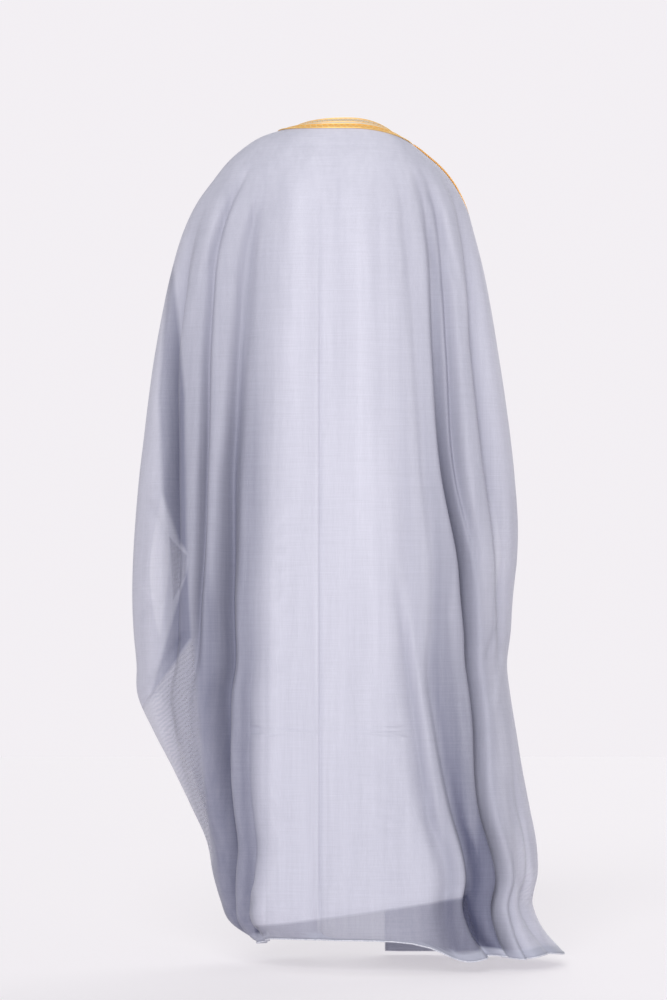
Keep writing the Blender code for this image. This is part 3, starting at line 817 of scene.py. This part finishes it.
def braid_material():
    """Gold zigzags and diamonds on a pale ground and a gold one, repeated every 12 mm."""
    material, tree, shader = new_material("zari_braid", {"Metallic": 0.3, "Roughness": 0.42})
    place = connect(tree, "ShaderNodeUVMap", uv_map="cloth").outputs["UV"]
    split = connect(tree, "ShaderNodeSeparateXYZ", {"Vector": place})
    along, across = split.outputs["X"], split.outputs["Y"]

    def add_zigzag(ground, colour, repeat, low, high, wide):
        """Draws a zigzag line between two shares of the band's width."""
        wave = calculate(tree, "PINGPONG", along, repeat / 2)
        line = remap(tree, wave, 0.0, repeat / 2, low * BAND_WIDTH, high * BAND_WIDTH)
        away = calculate(tree, "ABSOLUTE", calculate(tree, "SUBTRACT", across, line))
        return mix_colours(tree, remap(tree, away, wide * 0.6, wide, 1.0, 0.0), ground, colour)

    outer_half = remap(tree, across, 0.62 * BAND_WIDTH, 0.63 * BAND_WIDTH, 0.0, 1.0)
    pattern = mix_colours(tree, outer_half, (0.90, 0.82, 0.70, 1), (0.95, 0.50, 0.12, 1))
    pattern = add_zigzag(pattern, (1.0, 0.60, 0.16, 1), 0.012, 0.08, 0.36, 0.0011)
    pattern = add_zigzag(pattern, (0.30, 0.17, 0.08, 1), 0.006, 0.30, 0.14, 0.0006)
    pattern = add_zigzag(pattern, (1.0, 0.80, 0.42, 1), 0.012, 0.68, 0.92, 0.0010)
    tree.links.new(pattern, shader.inputs["Base Color"])
    thread = calculate(tree, "PINGPONG", along, 0.0005)
    bump = connect(tree, "ShaderNodeBump", {"Height": thread, "Strength": 0.6, "Distance": 0.3})
    tree.links.new(bump.outputs["Normal"], shader.inputs["Normal"])
    return material


# Rings of the band: round the neckline at levels 0 to 1, then down the front edges
neck_rings = [FoldedRing(level) for level in np.linspace(0.0, 1.0, BAND_COLUMNS + 1)]
front_edge = np.array([ring.points_at([0.0])[0] for ring in RING_STACK])
in_band = (LEVELS >= 1.0) & (running_length(front_edge) < BAND_LENGTH)
front_rings = [RING_STACK[row] for row in np.flatnonzero(in_band)]


def band_grids():
    """The neck's grid and the two fronts' grids, each with its lengths along the band and across it."""
    steps = np.linspace(0.0, 1.0, NECK_SAMPLES)
    neck = np.array([ring.points_at(steps * ring.places[-1]) for ring in neck_rings])
    shares = np.linspace(0.0, BAND_WIDTH, BAND_COLUMNS + 1)
    left = np.array([ring.points_at(shares) for ring in front_rings])
    right = np.array([ring.points_at(ring.places[-1] - shares[::-1]) for ring in front_rings])
    along = running_length(neck[-1])
    neck_uv = np.stack(np.meshgrid(along, shares), axis=2)
    down = running_length(left[:, 0])
    left_uv = np.stack(np.meshgrid(shares, -down), axis=2)[:, :, ::-1]
    right_uv = np.stack(np.meshgrid(shares[::-1], along[-1] + down), axis=2)[:, :, ::-1]
    return (neck, neck_uv), (left, left_uv), (right, right_uv)


points, faces, uvs = [], [], []
for grid, uv in band_grids():
    faces += grid_faces(*grid.shape[:2], first=sum(len(part) for part in points))
    points.append(lift_grid(grid, BAND_LIFT).reshape(-1, 3))
    uvs.append(uv.reshape(-1, 2))
band = add_sheet(
    "band_braid", np.concatenate(points), faces, np.concatenate(uvs), {}, braid_material(), BAND_WALL, 1
)
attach(band, "root")
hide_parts("neck_and_front_band")

# The band's raised cords: up the left front edge, round the neckline and down the right front edge
band_gold = gold_material("band_gold", (1.0, 0.74, 0.30, 1), (0.95, 0.50, 0.12, 1), 900.0)
for number, cord in enumerate(BAND_CORDS):
    offset = cord.share * BAND_WIDTH
    ring = FoldedRing(cord.share)
    below = FoldedRing(cord.share + NEXT_LEVEL)
    places = np.linspace(offset, ring.places[-1] - offset, NECK_SAMPLES)
    lower = below.points_at(places * below.places[-1] / ring.places[-1])
    neck = lift_grid(np.array([ring.points_at(places), lower]), BAND_WALL + BAND_LIFT)[0]
    sides = []
    for end in (0, 1):
        near = [abs(front.places[-1] * end - offset) for front in front_rings]
        far = [abs(front.places[-1] * end - offset - NEXT_PLACE) for front in front_rings]
        strip = np.array([front.points_at([a, b]) for front, a, b in zip(front_rings, near, far)])
        normals = cloth_normals(strip)[:, 0] * (1 - 2 * end)
        sides.append(strip[:, 0] + normals * (BAND_WALL + BAND_LIFT))
    path = np.concatenate([sides[0][::-1], neck, sides[1]])
    tube = add_tube(f"band_cord_{number + 1}", path, cord.radius, band_gold)

# The shoulder cords
# A cord of gold thread, two strands twisted together, is sewn over each shoulder seam from the neck
# band to the top of the hand opening.
STRAND_RADIUS = 0.0011
STRAND_SWING = 0.9
CORD_PITCH = 0.008
CORD_STEPS_PER_TURN = 10
CORD_LIFT = 0.0026
CORD_FIRST_LEVEL = 0.9

cord_gold = gold_material("cord_gold", (1.0, 0.64, 0.20, 1), (0.90, 0.40, 0.08, 1), 700.0)
for column, name in ((0, "shoulder_cord_left"), (-1, "shoulder_cord_right")):
    rows = (LEVELS >= CORD_FIRST_LEVEL) & (back_grid[:, column, 2] > HAND_OPENING_TOP)
    seam = back_grid[rows, column]
    lengths = running_length(seam)
    run = np.arange(0.0, lengths[-1], CORD_PITCH / CORD_STEPS_PER_TURN)
    middle = points_between(run, lengths, seam)
    normal = points_between(run, lengths, cloth_normals(back_grid)[rows, column])
    along = np.gradient(middle, axis=0)
    across = np.cross(along / np.linalg.norm(along, axis=1, keepdims=True), normal)
    turn = run / CORD_PITCH * 2 * math.pi
    for number, phase in enumerate((0.0, math.pi)):
        swing = normal * np.cos(turn + phase)[:, None] + across * np.sin(turn + phase)[:, None]
        path = middle + normal * CORD_LIFT + swing * STRAND_RADIUS * STRAND_SWING
        add_tube(f"{name}_strand_{number + 1}", path, STRAND_RADIUS, cord_gold)
    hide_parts(name)

# The studio
# A plain pale floor and wall, a soft key light from behind the camera with a weaker fill from the far
# side, and the camera.
FLOOR_CLEARANCE = 0.0008

bpy.ops.mesh.primitive_plane_add(size=60, location=(0, 0, cad_box[0][2] - FLOOR_CLEARANCE))
floor = bpy.context.active_object
floor.name = "floor"
paper, _, _ = new_material(
    "paper",
    {
        "Base Color": (0.49, 0.48, 0.49, 1),
        "Roughness": 0.9,
        "Emission Color": (1.0, 0.953, 0.99, 1),
        "Emission Strength": 0.465,
    },
)
floor.data.materials.append(paper)

# The wall is the colour that the camera sees behind the floor. It lights nothing.
world = bpy.data.worlds.new("studio")
bpy.context.scene.world = world
world.use_nodes = True
tree = world.node_tree
ambient = tree.nodes["Background"]
ambient.inputs["Color"].default_value = (0.96, 0.97, 1.0, 1)
ambient.inputs["Strength"].default_value = 0.40
wall = connect(tree, "ShaderNodeBackground", {"Color": (0.896, 0.867, 0.900, 1), "Strength": 1.0})
seen = connect(tree, "ShaderNodeLightPath").outputs["Is Camera Ray"]
both = connect(tree, "ShaderNodeMixShader", {0: seen, 1: ambient.outputs[0], 2: wall.outputs[0]})
tree.links.new(both.outputs[0], tree.nodes["World Output"].inputs["Surface"])


def add_sun(name, direction, angle, strength):
    light = bpy.data.lights.new(name, "SUN")
    light.angle = math.radians(angle)
    light.energy = strength
    lamp = bpy.data.objects.new(name, light)
    bpy.context.scene.collection.objects.link(lamp)
    lamp.rotation_euler = Vector(direction).to_track_quat("Z", "Y").to_euler()


add_sun("key", (0.12, 1.0, 0.45), 25, 1.75)
add_sun("fill", (-0.3, -1.0, 0.6), 60, 1.0)

camera_data = bpy.data.cameras.new("camera")
camera_data.lens = 95.0
camera = bpy.data.objects.new("camera", camera_data)
bpy.context.scene.collection.objects.link(camera)
camera.location = (0.0219, 5.02, -1.12)
aim = Vector((0.0219, 0.0, -0.697))
camera.rotation_euler = (aim - camera.location).to_track_quat("-Z", "Y").to_euler()
bpy.context.scene.camera = camera
bpy.context.scene.view_settings.view_transform = "Standard"
bpy.context.scene.cycles.transparent_max_bounces = 24
